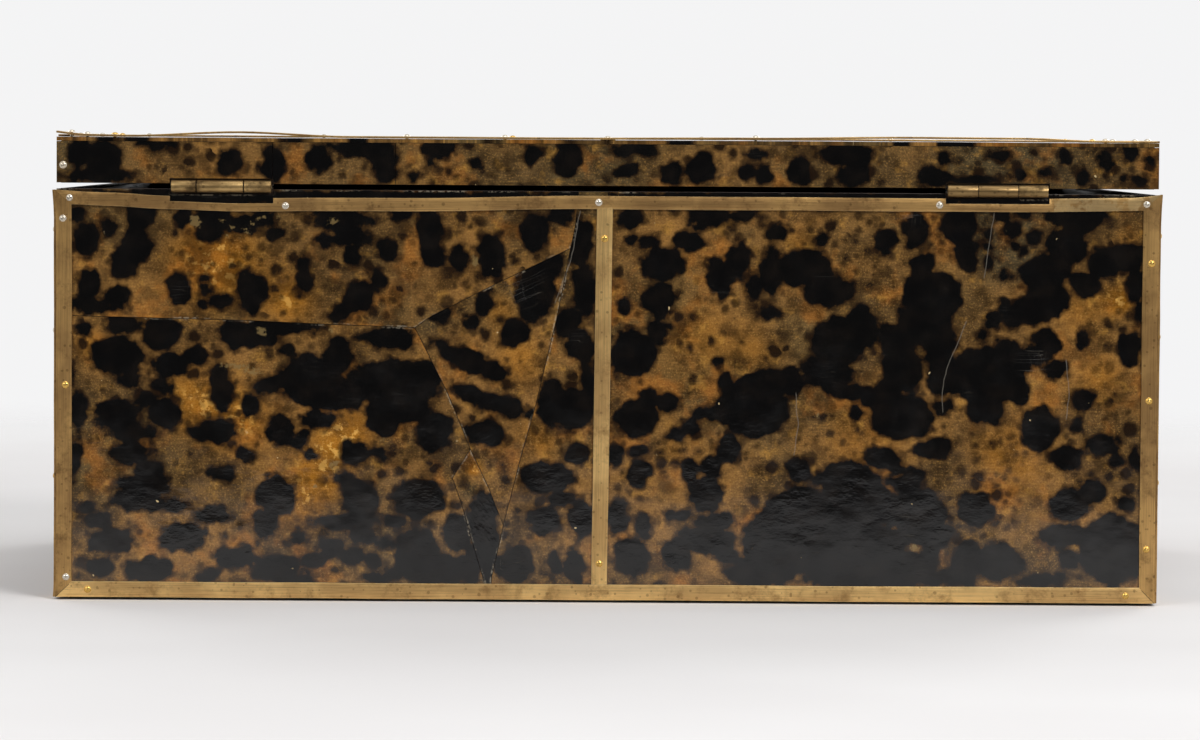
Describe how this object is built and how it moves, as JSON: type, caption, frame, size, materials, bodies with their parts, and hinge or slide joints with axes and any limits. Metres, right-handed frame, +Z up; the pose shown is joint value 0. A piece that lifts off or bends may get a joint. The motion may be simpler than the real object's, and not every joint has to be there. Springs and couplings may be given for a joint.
{
  "type": "travel writing box",
  "caption": "Shallow-lidded travel writing box faced with tortoiseshell plates under pinned brass edge strips, with outside butt hinges, box lock, pen till and paper well.",
  "frame": {"origin": "centre of the base, on the surface that the box stands on", "axes": "+X along the length, +Y towards the lock side, +Z up; the hinges are on the -Y side"},
  "size_m": [0.4222, 0.3067, 0.179],
  "materials": {
    "base_cloth": "dull dark green baize",
    "case_wood": "waxed",
    "shell": "polished tortoiseshell, amber with near-black blotches",
    "strip_brass": "dull brushed, tarnished",
    "pin_brass": "worn round heads",
    "hinge_brass": "dull, worn",
    "steel": "worn",
    "lock_brass": "satin",
    "screw_brass": "slotted, worn",
    "till_wood": "waxed",
    "bottle_glass": "thick clear glass",
    "cap_brass": "satin",
    "lining_paper": "plain dark red, aged",
    "key_steel": "worn dark",
    "knob_brass": "turned",
    "board_wood": "waxed",
    "writing_leather": "dark green, scuffed"
  },
  "bodies": {
    "case": {"base_cloth": "base_cloth", "bottom_board": "case_wood", "front_board": "case_wood", "back_board": "case_wood", "left_board": "case_wood", "right_board": "case_wood", "shell_back_right": "shell", "shell_back_upper_left": "shell", "shell_back_lower_left": "shell", "shell_back_wedge": "shell", "shell_back_mend": "shell", "shell_back_centre": "shell", "shell_front_left": "shell", "shell_front_right": "shell", "shell_left_end": "shell", "shell_right_end": "shell", "strip_back_top": "strip_brass", "strip_back_bottom": "strip_brass", "strip_back_left": "strip_brass", "strip_back_right": "strip_brass", "strip_back_centre": "strip_brass", "strips_front": "strip_brass", "strips_ends": "strip_brass", "pins_case": "pin_brass", "hinge_leaf_case_left": "hinge_brass", "hinge_leaf_case_right": "hinge_brass", "hinge_pins": "steel", "lock_case": "lock_brass", "lock_cap": "lock_brass", "escutcheon": "lock_brass", "screws_case": "screw_brass", "till_wall": "till_wood", "till_floor": "till_wood", "till_partition": "till_wood", "till_divider": "till_wood", "ink_block": "till_wood", "pen_rest": "till_wood", "ink_bottle_left": "bottle_glass", "ink_bottle_right": "bottle_glass", "ink_caps": "cap_brass"},
    "lid": {"lid_board": "case_wood", "lid_rail_front": "case_wood", "lid_rail_back": "case_wood", "lid_rails_ends": "case_wood", "shell_lid_top": "shell", "shell_lid_back": "shell", "shell_lid_sides": "shell", "strips_lid": "strip_brass", "pins_lid": "pin_brass", "hinge_leaf_lid_left": "hinge_brass", "hinge_leaf_lid_right": "hinge_brass", "link_plate": "lock_brass", "screws_lid": "screw_brass", "lid_lining": "lining_paper"},
    "lock_bolt": {"lock_bolt": "steel"},
    "key": {"key": "key_steel"},
    "till_cover": {"till_cover": "till_wood", "till_cover_knob": "knob_brass"},
    "writing_board": {"writing_board": "board_wood", "writing_leather": "writing_leather"}
  },
  "joints": [
    {"name": "lid_hinge", "type": "hinge", "parent": "case", "child": "lid", "pos_m": [0, -0.1361, 0.1578], "axis": [1, 0, 0], "range_deg": [0, 180]},
    {"name": "key_turn", "type": "hinge", "parent": "case", "child": "key", "pos_m": [0, 0.1345, 0.1318], "axis": [0, 1, 0], "range_deg": [0, 360]},
    {"name": "bolt_slide", "type": "slide", "parent": "case", "child": "lock_bolt", "axis": [1, 0, 0], "range_m": [0, 0.006]},
    {"name": "till_cover_slide", "type": "slide", "parent": "case", "child": "till_cover", "axis": [0, 1, 0], "range_m": [0, 0.1025]},
    {"name": "writing_board_lift", "type": "slide", "parent": "case", "child": "writing_board", "axis": [0, 0, 1], "range_m": [0, 0.15]}
  ],
  "couplings": [
    {"joint": "bolt_slide", "follows": "key_turn", "m_per_rad": 0.0009549}
  ]
}
